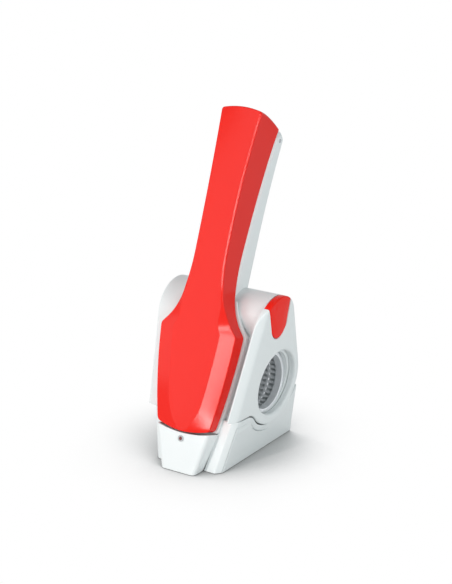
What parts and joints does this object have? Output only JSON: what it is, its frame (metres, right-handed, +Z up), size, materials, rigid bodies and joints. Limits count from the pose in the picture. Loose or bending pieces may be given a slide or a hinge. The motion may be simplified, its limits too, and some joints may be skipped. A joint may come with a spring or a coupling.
{
  "type": "cordless drum grater with charging dock",
  "caption": "Upright cordless electric drum grater with a red squeeze lever over a white body, a grating drum in a round side outlet, standing in a white charging dock.",
  "frame": {"origin": "on the table plane under the middle of the whole object's bounding box", "axes": "+Z up, -Y the side the red lever faces, +X the side of the drum's outlet"},
  "size_m": [0.1153, 0.1471, 0.3134],
  "materials": {
    "red_plastic": "smooth glossy red",
    "red_button": "smooth glossy red",
    "white_plastic": "smooth satin white",
    "grey_plastic": "fine matt grey",
    "white_presser": "fine matt white",
    "gear_plastic": "natural nylon",
    "drum_steel": "rolled stainless sheet",
    "zinc_steel": "zinc plated",
    "bronze": "sintered bronze",
    "contact_brass": "plated contact",
    "cell_wrap": "shrink wrap",
    "board_green": "solder mask",
    "black_plastic": "moulded black",
    "plunger_plastic": "moulded white",
    "foot_rubber": "soft rubber",
    "lamp_red": "dark red lens, unlit",
    "lamp_ring": "grey ring"
  },
  "bodies": {
    "dock": {"dock_shell": "white_plastic", "dock_bottom_plate": "grey_plastic", "dock_feet": "foot_rubber", "dock_led_lens": "lamp_red", "dock_led_bezel": "lamp_ring", "dock_contact_pins": "contact_brass", "dock_circuit_board": "board_green", "dock_power_inlet": "black_plastic", "dock_screws": "zinc_steel"},
    "body": {"drum_housing": "white_plastic", "handle_shell": "white_plastic", "handle_inner_cover": "grey_plastic", "left_gear_cover": "white_plastic", "body_screws": "zinc_steel", "cover_screws": "zinc_steel", "motor": "zinc_steel", "motor_mount": "grey_plastic", "drum_bush": "bronze", "idler_axle": "zinc_steel", "battery_cells": "cell_wrap", "battery_straps": "contact_brass", "control_board": "board_green", "charge_contacts": "contact_brass", "switch_body": "black_plastic", "hinge_pin": "zinc_steel"},
    "lever": {"lever_cover": "red_plastic", "presser_block": "white_presser", "presser_screws": "zinc_steel"},
    "drum": {"drum_hub": "grey_plastic", "drum_sheet": "drum_steel", "drum_ring": "drum_steel", "drum_gear": "gear_plastic"},
    "idler": {"idler_gear": "gear_plastic"},
    "pinion": {"motor_pinion": "gear_plastic", "motor_shaft": "zinc_steel"},
    "side_cover": {"side_cover": "white_plastic", "button_spring": "zinc_steel"},
    "button": {"release_button": "red_button"},
    "plunger": {"switch_plunger": "plunger_plastic"}
  },
  "joints": [
    {"name": "lift_off", "type": "slide", "parent": "dock", "child": "body", "axis": [0, 0, 1], "range_m": [0, 0.12]},
    {"name": "lever_hinge", "type": "hinge", "parent": "body", "child": "lever", "pos_m": [0, 0.06513, 0.27826], "axis": [-1, 0, 0], "range_deg": [0, 15]},
    {"name": "drum_spin", "type": "hinge", "parent": "body", "child": "drum", "pos_m": [0, 0.0161, 0.066], "axis": [1, 0, 0], "continuous": true},
    {"name": "idler_spin", "type": "hinge", "parent": "body", "child": "idler", "pos_m": [0, 0.02121, 0.1063], "axis": [1, 0, 0], "continuous": true},
    {"name": "pinion_spin", "type": "hinge", "parent": "body", "child": "pinion", "pos_m": [0, 0.0101, 0.128], "axis": [1, 0, 0], "continuous": true},
    {"name": "cover_pull", "type": "slide", "parent": "body", "child": "side_cover", "axis": [1, 0, 0], "range_m": [0, 0.04]},
    {"name": "button_press", "type": "slide", "parent": "side_cover", "child": "button", "axis": [-1, 0, 0], "range_m": [0, 0.001], "stiffness_N_per_m": 600, "deforming": ["button_spring"]},
    {"name": "switch_press", "type": "slide", "parent": "body", "child": "plunger", "axis": [0, 0.8912, -0.4536], "range_m": [0, 0.001], "stiffness_N_per_m": 600}
  ],
  "couplings": [
    {"joint": "idler_spin", "follows": "drum_spin", "ratio": -1.6},
    {"joint": "pinion_spin", "follows": "drum_spin", "ratio": 2.8571}
  ]
}
